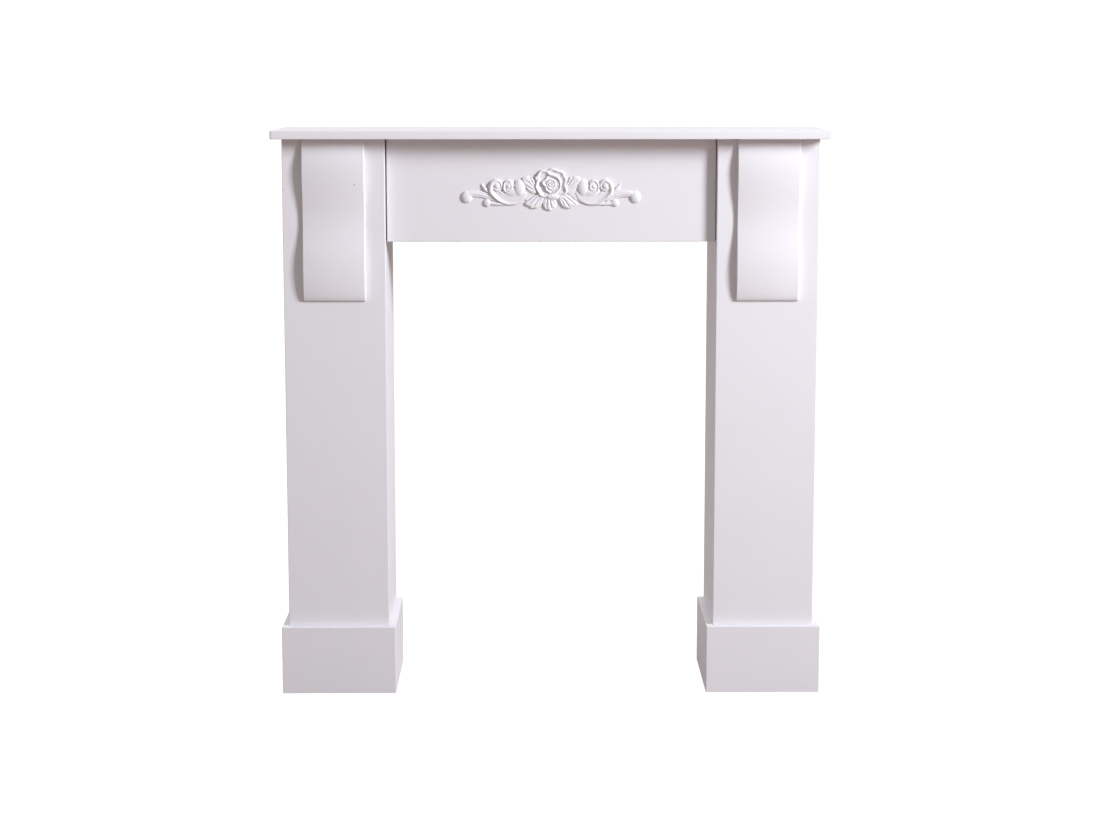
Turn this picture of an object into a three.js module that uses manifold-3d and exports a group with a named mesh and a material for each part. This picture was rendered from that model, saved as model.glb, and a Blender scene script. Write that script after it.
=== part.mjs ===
// A white painted mantelpiece: two hollow pillars on skirted bases, a frieze board with a cast rose
// ornament, two S-shaped corbels and a shelf. Millimetres, +Z up. The front faces -Y, the back is one
// plane at +Y that stands against a wall, and the origin is on the floor, under the middle.

import * as THREE from 'three';
import { mergeVertices } from 'three/addons/utils/BufferGeometryUtils.js';
import Module from 'manifold-3d';

const wasm = await Module();
wasm.setup();

// Boards and joints
const boardThickness = 12;
const jointGap = 0.3;
const easeRadius = 1.5;
const easeSteps = 2;

// Pillars
const openingWidth = 598;
const pillarWidth = 184;
const pillarDepth = 205;
const pillarHeight = 1020;

// Shelf
const shelfThickness = 15;
const shelfFrontOverhang = 35;
const shelfSideOverhang = 17;
const shelfCornerRadius = 4;

// Bases
const baseHeight = 125;
const baseThickness = 12;
const baseFit = 0.5;

// Frieze
const friezeHeight = 186;
const friezeThickness = 12;
const friezeRecess = 16;
const friezeGapLeft = 2.4;
const friezeGapRight = 1.2;

// Corbels: the S profile is given by its height and by how far it stands out at five levels
const corbelWidth = 112;
const corbelHeight = 292;
const corbelTopDepth = 7;
const corbelUpperBulge = 12;
const corbelUpperBulgeDrop = 56;
const corbelWaist = 5.5;
const corbelWaistDrop = 145;
const corbelLowerBulge = 12;
const corbelLowerBulgeDrop = 229;
const corbelFootDepth = 2.5;
const corbelStepsPerSwell = 9;

// Ornament: its carving is drawn in its own units, which are millimetres at this width
const ornamentWidth = 325;
const ornamentRelief = 8;
const ornamentDrop = 93;
const ornamentOffset = 0;
const carvingSink = 2;
const carvingHeadroom = 40;

// Worked out places
const wallY = (pillarDepth + shelfFrontOverhang) / 2;
const pillarFaceY = wallY - pillarDepth;
const innerX = openingWidth / 2;
const outerX = innerX + pillarWidth;
const friezeFaceY = pillarFaceY + friezeRecess;
const mitreShift = jointGap * Math.SQRT2;
const arrisInset = easeRadius * (1 - Math.SQRT1_2);
const corbelX = (innerX + outerX) / 2;

// Painted board, and the cast ornament that is painted with it
const paintedBoard = { color: 0xe9e5ea, roughness: 0.5, metalness: 0 };
const paintedCasting = { color: 0xebe7ec, roughness: 0.45, metalness: 0 };

// Skins a row of closed rings and caps both ends. Each ring holds its corners in space and the same
// corners flat, counter-clockwise as seen from the far end of the row.
function loft(rings) {
  const count = rings[0].corners.length;
  const index = [];
  for (let row = 0; row + 1 < rings.length; row += 1) {
    for (let i = 0; i < count; i += 1) {
      const a = row * count + i;
      const b = row * count + (i + 1) % count;
      index.push(a, b, b + count, a, b + count, a + count);
    }
  }
  const last = (rings.length - 1) * count;
  for (const [a, b, c] of THREE.ShapeUtils.triangulateShape(rings[0].flat, [])) {
    index.push(a, c, b);
  }
  for (const [a, b, c] of THREE.ShapeUtils.triangulateShape(rings.at(-1).flat, [])) {
    index.push(last + a, last + b, last + c);
  }
  const position = rings.flatMap((ring) => ring.corners.flatMap((corner) => corner.toArray()));
  const geometry = new THREE.BufferGeometry();
  geometry.setAttribute('position', new THREE.Float32BufferAttribute(position, 3));
  geometry.setIndex(index);
  return geometry;
}

// Stacks flat outlines [[x, y], ...] at the given levels. All of them turn the same way.
function stack(outlines, levels) {
  const turned = THREE.ShapeUtils.area(outlines[0].map(([x, y]) => new THREE.Vector2(x, y))) < 0;
  const rings = outlines.map((outline, k) => {
    const ordered = turned ? [...outline].reverse() : outline;
    return {
      corners: ordered.map(([x, y]) => new THREE.Vector3(x, y, levels[k])),
      flat: ordered.map(([x, y]) => new THREE.Vector2(x, y)),
    };
  });
  return loft(rings);
}

// The steps of a rounded edge, as pairs of how far in from the face and how far down from the top
function easing(radius) {
  const steps = [];
  for (let k = 0; k <= easeSteps; k += 1) {
    const angle = (Math.PI / 2) * (k / easeSteps);
    steps.push([radius * (1 - Math.cos(angle)), radius * (1 - Math.sin(angle))]);
  }
  return steps;
}

// A board standing on its bottom edge, with its top edge, its bottom edge or both eased.
// outlineAt(inset) is its plan with every visible face set back by inset.
function standingBoard(outlineAt, height, { top = false, bottom = false }) {
  const eased = easing(easeRadius);
  const rings = [];
  if (bottom) {
    for (const [inset, drop] of [...eased].reverse()) {
      rings.push([outlineAt(inset), drop]);
    }
  } else {
    rings.push([outlineAt(0), 0]);
  }
  if (top) {
    for (const [inset, drop] of eased) {
      rings.push([outlineAt(inset), height - drop]);
    }
  } else {
    rings.push([outlineAt(0), height]);
  }
  return stack(rings.map(([outline]) => outline), rings.map(([, level]) => level));
}

// The plan of a front board, mitred at both ends: x from one outer arris to the other, faceY in front
function frontPlan(fromX, toX, faceY, thickness, inset) {
  const face = faceY + inset;
  const start = fromX + inset;
  const end = toX - inset;
  return [
    [start + easeRadius, face],
    [start + arrisInset, face + arrisInset],
    [fromX + thickness, faceY + thickness],
    [toX - thickness, faceY + thickness],
    [end - arrisInset, face + arrisInset],
    [end - easeRadius, face],
  ];
}

// The plan of a side board that runs back to the wall, mitred to the front board.
// side is -1 when its outer face looks to -X and +1 when it looks to +X.
function sidePlan(faceX, side, faceY, thickness, inset) {
  const face = faceX - side * inset;
  const back = faceX - side * thickness;
  const front = faceY + mitreShift;
  return [
    [face, front + inset + easeRadius],
    [face - side * arrisInset, front + inset + arrisInset],
    [back, front + thickness],
    [back, wallY],
    [face, wallY],
  ];
}

// A rectangle with rounded corners, as a list of points
function roundedRectangle(fromX, toX, fromY, toY, radius, steps) {
  const middles = [[toX, toY, 0], [fromX, toY, 1], [fromX, fromY, 2], [toX, fromY, 3]];
  const outline = [];
  for (const [cornerX, cornerY, quarter] of middles) {
    const centreX = cornerX - Math.sign(cornerX - (fromX + toX) / 2) * radius;
    const centreY = cornerY - Math.sign(cornerY - (fromY + toY) / 2) * radius;
    for (let k = 0; k <= steps; k += 1) {
      const angle = (Math.PI / 2) * (quarter + k / steps);
      outline.push([centreX + radius * Math.cos(angle), centreY + radius * Math.sin(angle)]);
    }
  }
  return outline;
}

// How far the corbel stands out from the pillar at a distance below the shelf. Its lower end is
// rounded in like a quarter of an ellipse.
function corbelDepth(drop) {
  const levels = [
    [0, corbelTopDepth],
    [corbelUpperBulgeDrop, corbelUpperBulge],
    [corbelWaistDrop, corbelWaist],
    [corbelLowerBulgeDrop, corbelLowerBulge],
    [corbelHeight, corbelFootDepth],
  ];
  const next = Math.max(1, levels.findIndex(([level]) => level >= drop));
  const [fromDrop, fromDepth] = levels[next - 1];
  const [toDrop, toDepth] = levels[next];
  const along = (drop - fromDrop) / (toDrop - fromDrop);
  if (next === levels.length - 1) {
    return toDepth + (fromDepth - toDepth) * Math.sqrt(Math.max(0, 1 - along * along));
  }
  const share = (1 - Math.cos(Math.PI * along)) / 2;
  return fromDepth + (toDepth - fromDepth) * share;
}

// A corbel lying on its side: x is how far it stands out, y the distance below the shelf, z across
function corbelGeometry() {
  const stations = [0, corbelUpperBulgeDrop, corbelWaistDrop, corbelLowerBulgeDrop, corbelHeight];
  const drops = [];
  for (let k = 0; k + 1 < stations.length; k += 1) {
    const rounded = k + 2 === stations.length;
    for (let step = 0; step < corbelStepsPerSwell; step += 1) {
      const even = step / corbelStepsPerSwell;
      const along = rounded ? Math.sin(even * Math.PI / 2) : even;
      drops.push(stations[k] + (stations[k + 1] - stations[k]) * along);
    }
  }
  drops.push(corbelHeight);
  const profile = (inset) => [
    [0, 0],
    ...drops.map((drop) => [corbelDepth(drop) - inset, drop]),
    [0, corbelHeight],
  ];
  const eased = easing(easeRadius);
  const rings = [
    ...[...eased].reverse().map(([inset, drop]) => [profile(inset), drop]),
    ...eased.map(([inset, drop]) => [profile(inset), corbelWidth - drop]),
  ];
  return stack(rings.map(([outline]) => outline), rings.map(([, level]) => level));
}

// Turns a geometry into a solid that can be joined and cut
function solid(geometry) {
  const bare = geometry.clone();
  bare.deleteAttribute('normal');
  bare.deleteAttribute('uv');
  const merged = mergeVertices(bare);
  const vertProperties = new Float32Array(merged.attributes.position.array);
  const triVerts = new Uint32Array(merged.index.array);
  return new wasm.Manifold(new wasm.Mesh({ numProp: 3, vertProperties, triVerts }));
}

// Turns a solid back into a geometry
function geometryOf(body) {
  const mesh = body.getMesh();
  const geometry = new THREE.BufferGeometry();
  const position = new Float32Array(mesh.vertProperties);
  geometry.setAttribute('position', new THREE.BufferAttribute(position, mesh.numProp));
  geometry.setIndex(new THREE.BufferAttribute(new Uint32Array(mesh.triVerts), 1));
  return geometry;
}

// A smooth step through evenly spaced values, for a share of the way from 0 to 1
function between(values, share) {
  const place = Math.min(share * (values.length - 1), values.length - 1);
  const before = Math.min(Math.floor(place), values.length - 2);
  const ease = (1 - Math.cos(Math.PI * (place - before))) / 2;
  return values[before] + (values[before + 1] - values[before]) * ease;
}

// A carved ridge: a domed strip along a smooth line in the plane of the frieze, x to the right,
// y up and z out of the board. widths and heights run from its start to its end, lean moves the
// crest to its left, and flutes cuts that many grooves along it.
function ridge({ line, widths, heights, lean = 0, flutes = 0, fluteDepth = 0.3, steps = 9, sides = 6 }) {
  const curve = new THREE.SplineCurve(line.map(([x, y]) => new THREE.Vector2(x, y)));
  const rings = [];
  for (let step = 0; step <= steps; step += 1) {
    const even = step / steps;
    const share = 0.5 * even + 0.5 * (1 - Math.cos(Math.PI * even)) / 2;
    const middle = curve.getPointAt(share);
    const heading = curve.getTangentAt(share);
    const left = new THREE.Vector2(-heading.y, heading.x);
    const roundEnd = Math.sqrt(Math.max(0.03, 1 - (2 * share - 1) ** 6));
    const halfWidth = between(widths, share) * roundEnd;
    const height = between(heights, share) * roundEnd;
    const flat = [new THREE.Vector2(-halfWidth, -carvingSink), new THREE.Vector2(halfWidth, -carvingSink)];
    for (let side = 0; side <= sides; side += 1) {
      const angle = Math.PI * side / sides;
      const across = Math.cos(angle) + lean * Math.sin(angle) ** 2;
      const groove = flutes ? fluteDepth * (1 - Math.cos(2 * angle * flutes)) / 2 : 0;
      const rise = Math.sin(angle) * (1 - groove);
      flat.push(new THREE.Vector2(halfWidth * across, height * rise));
    }
    const corners = flat.map(({ x, y }) => new THREE.Vector3(middle.x + left.x * x, middle.y + left.y * x, y));
    rings.push({ corners, flat });
  }
  return loft(rings);
}

// Points on a spiral about a centre, angles in degrees
function spiral([centreX, centreY], fromAngle, toAngle, fromRadius, toRadius, count) {
  const points = [];
  for (let k = 0; k < count; k += 1) {
    const share = k / (count - 1);
    const angle = THREE.MathUtils.degToRad(fromAngle + (toAngle - fromAngle) * share);
    const radius = fromRadius + (toRadius - fromRadius) * share;
    points.push([centreX + radius * Math.cos(angle), centreY + radius * Math.sin(angle)]);
  }
  return points;
}

// A rounded boss, half of it sunk behind the plane of the frieze
function boss([centreX, centreY], radiusX, radiusY, height, sides = 14) {
  const geometry = new THREE.SphereGeometry(1, sides, Math.round(sides / 2));
  geometry.rotateX(Math.PI / 2);
  geometry.scale(radiusX, radiusY, height);
  geometry.translate(centreX, centreY, 0);
  return geometry;
}

// A leaf of several round-tipped lobes that fan out from one root
function leaf(root, tips, halfWidth, height) {
  return tips.map((tip) => ridge({
    line: [root, [(root[0] + tip[0]) / 2, (root[1] + tip[1]) / 2], tip],
    widths: [halfWidth * 0.6, halfWidth, halfWidth * 0.85],
    heights: [height * 0.7, height, height * 0.55],
    steps: 6,
    sides: 5,
  }));
}

// The same carving on the other side of the ornament's upright middle line
function mirrored(geometry) {
  const other = geometry.clone().scale(-1, 1, 1);
  const index = other.index.array;
  for (let k = 0; k < index.length; k += 3) {
    [index[k], index[k + 1]] = [index[k + 1], index[k]];
  }
  return other;
}

// The rose in the middle, a little above the ornament's own centre: two rings of ruffled petals that
// overlap, each highest along its outer rim, round a rolled bud. The petals run counter-clockwise.
function rose() {
  const heart = [0, 11.5];
  const outerPetals = [
    [[12, -9], [20, -5.5], [24.5, 3], [23, 12], [25, 20.5], [21, 28]],
    [[25, 21], [18, 29.5], [9, 34], [-3, 33]],
    [[4, 32], [-8, 31.5], [-18, 29.5], [-24, 20]],
    [[-21.5, 27], [-20.5, 16], [-22.5, 7], [-16, -3.5], [-8, -9]],
    [[-11, -6], [-4, -11.5], [6, -12], [14, -7]],
  ];
  const innerPetals = [
    [[7, -4.5], [13.5, 0], [15.5, 7], [15, 15]],
    [[17, 11], [13, 20.5], [6, 24.5], [-4, 26.5]],
    [[2, 25.5], [-7.5, 23.5], [-13, 16.5], [-12.5, 7]],
    [[-14, 11], [-10.5, 3], [-4, -2.5], [5, -4]],
  ];
  const budPetals = [[60, 235], [225, 420]];
  const outerRing = outerPetals.map((line) => ridge({
    line,
    widths: [5, 6, 5.4, 6, 5],
    heights: [6, 8.2, 7.4, 8.2, 6],
    lean: -0.42,
    steps: 8,
  }));
  const innerRing = innerPetals.map((line) => ridge({
    line,
    widths: [2.8, 3.8, 3.8, 2.8],
    heights: [9.5, 11.4, 11.4, 9.5],
    lean: -0.42,
    steps: 8,
    sides: 5,
  }));
  const budRing = budPetals.map(([from, to]) => ridge({
    line: spiral(heart, from, to, 7.8, 6.8, 6),
    widths: [2, 2.2, 2],
    heights: [12.2, 12.8, 12.2],
    lean: -0.3,
    sides: 4,
  }));
  return [
    boss(heart, 24, 23, 4.5, 14),
    boss(heart, 15, 15, 8, 12),
    ...outerRing,
    ...innerRing,
    ...budRing,
    boss(heart, 4.2, 4.2, 13.6, 10),
  ];
}

// The carving right of the rose: leaves, a rosebud, a large C scroll, a small leaf and an end scroll
function sprayOnTheRight() {
  const volute = [98, 8];
  const bud = [76.5, 5];
  const endEye = [152, -12.5];
  const ball = [115.5, -22.5];
  return [
    ...leaf([23, 1], [[32, 21], [41, 22], [48.5, 17.5], [46.5, 7.5], [38, -2]], 5.6, 6.5),
    ...leaf([15, -8], [[25, -28], [35, -29], [42.5, -22]], 6, 6),
    boss([38, -4], 22, 9, 3.2),
    boss([76, -10], 31, 16, 4, 18),
    ridge({ line: [[52, -15], [72, -17], [90, -11], [103, 2]], widths: [7, 9, 9, 6], heights: [3, 4.6, 6, 6], steps: 8 }),
    boss([61, 3.5], 14, 15.5, 9),
    boss(bud, 9, 12, 7),
    ridge({ line: spiral(bud, 150, -80, 8.5, 7.5, 6), widths: [1.8, 2.4, 1.8], heights: [9, 10, 9], sides: 5 }),
    ridge({ line: spiral(bud, -110, 120, 4.5, 4, 6), widths: [1.5, 1.8, 1.5], heights: [9, 10.5, 9], sides: 5 }),
    ridge({
      line: [[46, -23], [72, -25], [93, -17.5], ...spiral(volute, -25, 235, 10, 6.2, 7)],
      widths: [2.4, 3.6, 4.6, 4.6, 4.4, 4, 3],
      heights: [3.5, 5, 7.5, 8.5, 9, 8.5, 7.5],
      lean: -0.3,
      steps: 22,
      sides: 6,
    }),
    boss(volute, 4.8, 4.6, 8.5, 12),
    ridge({ line: [[105, -11], [114, -4], [121, 3], [126, 11]], widths: [2, 2.6, 4.4, 2.6], heights: [4, 5, 6, 4] }),
    boss(ball, 7.5, 7.3, 7.5),
    ridge({ line: [[76, -23], [96, -22.5], [113, -22.5]], widths: [3.6, 4.2, 3.2], heights: [4, 4.6, 4], steps: 6 }),
    ridge({
      line: [[98, -21], [108, -15.5], [122, -8.5], [136, -5], ...spiral(endEye, 95, -150, 6.4, 4.6, 7)],
      widths: [3, 4.6, 5.4, 5, 5, 4.2],
      heights: [3, 4.5, 5.5, 6.4, 6.6, 5.5],
      flutes: 3,
      steps: 20,
      sides: 8,
    }),
    boss(endEye, 7.4, 7.4, 7, 12),
  ];
}

// The cast ornament: all the carving joined, cut flat along its back and brought to its width and
// to the height of its highest petal
function ornamentGeometry() {
  const right = sprayOnTheRight();
  const drooping = leaf([-2, -11], [[-11.5, -26], [-7, -35.5], [0.5, -37], [6, -28]], 4.8, 6.5);
  const pieces = [...right, ...right.map(mirrored), ...drooping, ...rose()];
  const joined = pieces.map(solid).reduce((whole, piece) => whole.add(piece));
  const { min, max } = joined.boundingBox();
  const front = new THREE.BoxGeometry(max[0] - min[0] + 2, max[1] - min[1] + 2, carvingHeadroom);
  front.translate((min[0] + max[0]) / 2, (min[1] + max[1]) / 2, carvingHeadroom / 2);
  const unit = ornamentWidth / (max[0] - min[0]);
  return geometryOf(joined.intersect(solid(front))).scale(unit, unit, ornamentRelief / max[2]);
}

// Adds a named mesh to the model
const group = new THREE.Group();

function add(name, geometry, finish) {
  const flat = geometry.index ? geometry.toNonIndexed() : geometry;
  flat.computeVertexNormals();
  const mesh = new THREE.Mesh(flat, new THREE.MeshStandardMaterial(finish));
  mesh.name = name;
  group.add(mesh);
  return mesh;
}

// One pillar of three mitred boards, open at the back, with a skirt of three boards round its foot.
// side is -1 for the left pillar and +1 for the right one.
function pillar(label, side) {
  const left = side < 0 ? -outerX : innerX;
  const right = left + pillarWidth;
  const innerFace = side * innerX;
  const outerFace = side * outerX;
  const boards = [
    ['front', (inset) => frontPlan(left, right, pillarFaceY, boardThickness, inset)],
    ['outer_side', (inset) => sidePlan(outerFace, side, pillarFaceY, boardThickness, inset)],
    ['inner_side', (inset) => sidePlan(innerFace, -side, pillarFaceY, boardThickness, inset)],
  ];
  for (const [part, plan] of boards) {
    add(`${label}_pillar_${part}`, standingBoard(plan, pillarHeight, {}), paintedBoard);
  }
  const reach = baseFit + baseThickness;
  const baseFaceY = pillarFaceY - reach;
  const skirt = [
    ['front', (inset) => frontPlan(left - reach, right + reach, baseFaceY, baseThickness, inset)],
    ['outer_side', (inset) => sidePlan(outerFace + side * reach, side, baseFaceY, baseThickness, inset)],
    ['inner_side', (inset) => sidePlan(innerFace - side * reach, -side, baseFaceY, baseThickness, inset)],
  ];
  for (const [part, plan] of skirt) {
    add(`${label}_base_${part}`, standingBoard(plan, baseHeight, { top: true }), paintedBoard);
  }
}

// A corbel on the middle of a pillar, its top under the shelf
function corbel(label, side) {
  const mesh = add(`${label}_corbel`, corbelGeometry(), paintedBoard);
  const outwards = new THREE.Vector3(0, -1, 0);
  const down = new THREE.Vector3(0, 0, -1);
  const across = new THREE.Vector3(1, 0, 0);
  mesh.setRotationFromMatrix(new THREE.Matrix4().makeBasis(outwards, down, across));
  mesh.position.set(side * corbelX - corbelWidth / 2, pillarFaceY - jointGap, pillarHeight);
}

for (const [label, side] of [['left', -1], ['right', 1]]) {
  pillar(label, side);
  corbel(label, side);
}

const shelfHalfWidth = outerX + shelfSideOverhang;
const shelfFrontY = pillarFaceY - shelfFrontOverhang;
const shelfPlan = (inset) => roundedRectangle(
  -shelfHalfWidth + inset,
  shelfHalfWidth - inset,
  shelfFrontY + inset,
  wallY,
  Math.max(shelfCornerRadius - inset, easeRadius / 2),
  easeSteps,
);
const shelf = add('shelf', standingBoard(shelfPlan, shelfThickness, { top: true, bottom: true }), paintedBoard);
shelf.position.z = pillarHeight + jointGap;

const friezePlan = (inset) => [
  [-innerX + friezeGapLeft, friezeFaceY + easeRadius + inset],
  [-innerX + friezeGapLeft + easeRadius, friezeFaceY + inset],
  [innerX - friezeGapRight - easeRadius, friezeFaceY + inset],
  [innerX - friezeGapRight, friezeFaceY + easeRadius + inset],
  [innerX - friezeGapRight, friezeFaceY + friezeThickness],
  [-innerX + friezeGapLeft, friezeFaceY + friezeThickness],
];
const frieze = add('frieze', standingBoard(friezePlan, friezeHeight, { bottom: true }), paintedBoard);
frieze.position.z = pillarHeight - friezeHeight;

const ornament = add('rose_ornament', ornamentGeometry(), paintedCasting);
ornament.rotation.x = Math.PI / 2;
ornament.position.set(ornamentOffset, friezeFaceY - jointGap, pillarHeight - ornamentDrop);

export default group;
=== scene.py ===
"""A white painted mantelpiece: its paint, its two corbels, the cast rose ornament and a plain studio."""

import math

import bmesh
import bpy
import numpy as np
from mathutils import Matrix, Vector


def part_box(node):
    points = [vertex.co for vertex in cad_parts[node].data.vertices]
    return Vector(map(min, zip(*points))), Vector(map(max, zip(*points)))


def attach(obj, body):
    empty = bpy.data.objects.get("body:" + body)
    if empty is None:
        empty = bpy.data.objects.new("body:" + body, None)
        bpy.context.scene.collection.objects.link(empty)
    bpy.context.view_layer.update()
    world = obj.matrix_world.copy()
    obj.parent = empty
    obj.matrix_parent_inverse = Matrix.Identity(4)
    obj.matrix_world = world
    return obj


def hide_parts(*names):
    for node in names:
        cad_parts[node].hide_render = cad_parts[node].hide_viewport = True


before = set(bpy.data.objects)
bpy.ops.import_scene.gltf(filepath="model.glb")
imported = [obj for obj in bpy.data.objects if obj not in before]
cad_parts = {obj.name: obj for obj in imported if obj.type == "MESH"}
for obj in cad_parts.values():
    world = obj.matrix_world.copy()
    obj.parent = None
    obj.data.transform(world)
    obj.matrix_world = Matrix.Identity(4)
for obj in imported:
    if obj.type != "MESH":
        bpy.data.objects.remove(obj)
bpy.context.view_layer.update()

bl_info = {
    "name": "White Fireplace Mantelpiece",
    "version": (1, 0, 0),
    "blender": (4, 5, 0),
    "location": "3D View > Sidebar > Mantelpiece",
    "description": "Paints the boards, shapes the corbels and the rose ornament, and sets up a studio",
    "category": "Object",
}

MM = 0.001
BODY = "root"
CORBELS = ("left_corbel", "right_corbel")
ORNAMENT = "rose_ornament"
BOARDS = sorted(set(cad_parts) - {*CORBELS, ORNAMENT})
PILLAR_LOW, PILLAR_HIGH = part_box("right_pillar_front")
INNER_LOW, INNER_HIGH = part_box("right_pillar_inner_side")
BOARD_THICKNESS = INNER_HIGH.x - INNER_LOW.x
PILLAR_MIDDLE = (PILLAR_LOW.x + PILLAR_HIGH.x) / 2
HOLLOW_HALF_WIDTH = PILLAR_MIDDLE - INNER_HIGH.x
PILLAR_INSIDE_Y = PILLAR_LOW.y + BOARD_THICKNESS
OPENING_HALF_WIDTH = INNER_LOW.x
FRIEZE_LOW, FRIEZE_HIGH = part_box("frieze")
FRIEZE_END = min(-FRIEZE_LOW.x, FRIEZE_HIGH.x)
SHELF_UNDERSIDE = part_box("shelf")[0].z
ORNAMENT_LOW, ORNAMENT_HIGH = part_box(ORNAMENT)


class MantelPaint(bpy.types.PropertyGroup):
    """The satin paint on every visible face, the bare board behind it, and the painted shade that darkens the
    bare board deep in the joints beside the frieze.
    """

    colour: bpy.props.FloatVectorProperty(
        name="Paint", description="Colour of the satin paint",
        subtype="COLOR", size=3, min=0, max=1, default=(0.805, 0.775, 0.815),
    )
    shade: bpy.props.FloatVectorProperty(
        name="Uneven tone", description="Colour of the paint where it dried a little darker",
        subtype="COLOR", size=3, min=0, max=1, default=(0.775, 0.745, 0.785),
    )
    bare_board: bpy.props.FloatVectorProperty(
        name="Bare board", description="Colour of the unpainted fibreboard inside and behind",
        subtype="COLOR", size=3, min=0, max=1, default=(0.36, 0.25, 0.16),
    )
    # Bare board darkened far below its own colour: painted shade deep in the gaps beside the frieze's ends.
    joint_painted_shade: bpy.props.FloatVectorProperty(
        name="Joint", description="Colour of the unpainted board deep in the joints beside the frieze",
        subtype="COLOR", size=3, min=0, max=1, default=(0.08, 0.065, 0.06),
    )
    gloss_roughness: bpy.props.FloatProperty(
        name="Roughness", description="Roughness of the satin paint",
        subtype="FACTOR", min=0, max=1, default=0.42,
    )
    film: bpy.props.FloatProperty(
        name="Film", description="Thickness of the paint over the boards",
        subtype="DISTANCE", unit="LENGTH", default=0.14 * MM, precision=5,
    )
    stipple: bpy.props.FloatProperty(
        name="Stipple", description="Height of the roller's stipple in the paint",
        subtype="DISTANCE", unit="LENGTH", default=0.03 * MM, precision=5,
    )


class MantelCorbels(bpy.types.PropertyGroup):
    """The two S-shaped corbels, which keep the frame's own profile."""

    arris_radius: bpy.props.FloatProperty(
        name="Arris", description="Radius of the rounded side edges",
        subtype="DISTANCE", unit="LENGTH", default=1.5 * MM, precision=4,
    )
    steps_per_sample: bpy.props.IntProperty(
        name="Steps", description="Steps for each step of the frame's own profile", min=1, default=4,
    )


class MantelOrnament(bpy.types.PropertyGroup):
    """The cast rose ornament, which fills the box of the frame's own."""

    detail: bpy.props.FloatProperty(
        name="Detail", description="Spacing of the points over the carving",
        subtype="DISTANCE", unit="LENGTH", min=0.45 * MM, default=0.5 * MM, precision=5,
    )
    proud: bpy.props.FloatProperty(
        name="Proud", description="How far the highest petal stands off the frieze",
        subtype="DISTANCE", unit="LENGTH", default=ORNAMENT_HIGH.y - ORNAMENT_LOW.y, precision=4,
    )


class MantelStudio(bpy.types.PropertyGroup):
    """The camera, the lamp, the white surroundings and the floor."""

    camera_place: bpy.props.FloatVectorProperty(
        name="Camera", description="Where the camera stands",
        subtype="TRANSLATION", unit="LENGTH", size=3, default=(-0.0356, -3.8, 1.15),
    )
    camera_pitch: bpy.props.FloatProperty(
        name="Pitch", description="How far the camera looks down",
        subtype="ANGLE", unit="ROTATION", default=math.radians(7.475),
    )
    camera_yaw: bpy.props.FloatProperty(
        name="Yaw", description="How far the camera turns to its right",
        subtype="ANGLE", unit="ROTATION", default=math.radians(0.518),
    )
    camera_lens: bpy.props.FloatProperty(
        name="Lens", description="Focal length", subtype="DISTANCE_CAMERA", unit="CAMERA", default=67.6,
    )
    camera_shift: bpy.props.FloatProperty(
        name="Shift", description="Upward shift of the picture, as a share of its width", default=-0.0685,
    )
    lamp_power: bpy.props.FloatProperty(
        name="Lamp", description="Power of the soft lamp at the right", unit="POWER", default=320.0,
    )
    lamp_colour: bpy.props.FloatVectorProperty(
        name="Lamp colour", description="Slightly cool, as daylight from a window",
        subtype="COLOR", size=3, min=0, max=1.2, default=(0.955, 1.0, 1.055),
    )
    lamp_place: bpy.props.FloatVectorProperty(
        name="Lamp place", description="Where the lamp hangs",
        subtype="TRANSLATION", unit="LENGTH", size=3, default=(3.2, -2.2, 2.3),
    )
    lamp_size: bpy.props.FloatProperty(
        name="Lamp size", description="Side of the lamp", subtype="DISTANCE", unit="LENGTH", default=1.3,
    )
    lamp_target: bpy.props.FloatVectorProperty(
        name="Lamp target", description="Where the lamp faces, so that it evens the light out to the left",
        subtype="TRANSLATION", unit="LENGTH", size=3, default=(-3.5, -3.0, 3.0),
    )
    front_fill: bpy.props.FloatProperty(
        name="Front fill", description="Light from the white surroundings in front", min=0, default=0.2,
    )
    back_fill: bpy.props.FloatProperty(
        name="Back fill", description="Light from the white surroundings behind", min=0, default=1.1,
    )
    side_fall: bpy.props.FloatProperty(
        name="Side fall", description="How much weaker the surroundings are at the right than in the middle",
        min=0, max=1, default=0.35,
    )
    backdrop: bpy.props.FloatProperty(
        name="Backdrop", description="Brightness of the surroundings as the camera sees them", default=1.1,
    )
    floor_seen: bpy.props.FloatProperty(
        name="Floor brightness", description="Brightness added to the floor as the camera sees it",
        min=0, default=0.92,
    )
    floor_colour: bpy.props.FloatVectorProperty(
        name="Floor", description="Colour of the light that the floor throws back",
        subtype="COLOR", size=3, min=0, max=1, default=(0.34, 0.27, 0.23),
    )


# The two flaws of the real one, each as (place, radius): a nick on the left pillar's outer edge and a
# spot on the left corbel.
NICK = ((-0.4833, -0.0853, 0.9296), 1.2 * MM)
SPOT = ((-0.3527, -0.0961, 0.9385), 0.8 * MM)
FLAW_COLOUR = (0.16, 0.14, 0.14)
FLAW_STRENGTH = 0.8
FLAW_FADE = 0.8 * MM
FLAW_DEPTH = 0.3 * MM

# The sizes of the paint's patches, its roller stipple and its slow swell, and the relief of the swell.
PATCH_SIZE = 90 * MM
STIPPLE_SIZE = 1.3 * MM
SWELL_SIZE = 45 * MM
SWELL_HEIGHT = 0.25 * MM
ROUGHNESS_SPREAD = 0.12

# The bare board: its fibres and clouds, how rough it is, and the ragged edge that the spray gun left.
FIBRE_SIZE = 1.1 * MM
FIBRE_HEIGHT = 0.06 * MM
CLOUD_SIZE = 60 * MM
DARK_FIBRE, PALE_FIBRE = 0.62, 1.25
BARE_ROUGHNESS = 0.88
SPRAY_SIZE = 14 * MM
SPRAY_REACH = 3 * MM

# Edges that bend by more degrees than this stay sharp, on the painted boards and on the corbels.
BOARD_BEND = 30
CORBEL_BEND = 35
ARRIS_STEPS = 5

# The carving's grid in millimetres, and how close to the frieze's face a point counts as on it.
CARVING_HALF_WIDTH = 165.0
CARVING_HALF_HEIGHT = 43.0
CUT_TOLERANCE = 1e-4

FLOOR_REACH = 30.0
FLOOR_DROP = 0.2 * MM


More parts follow.
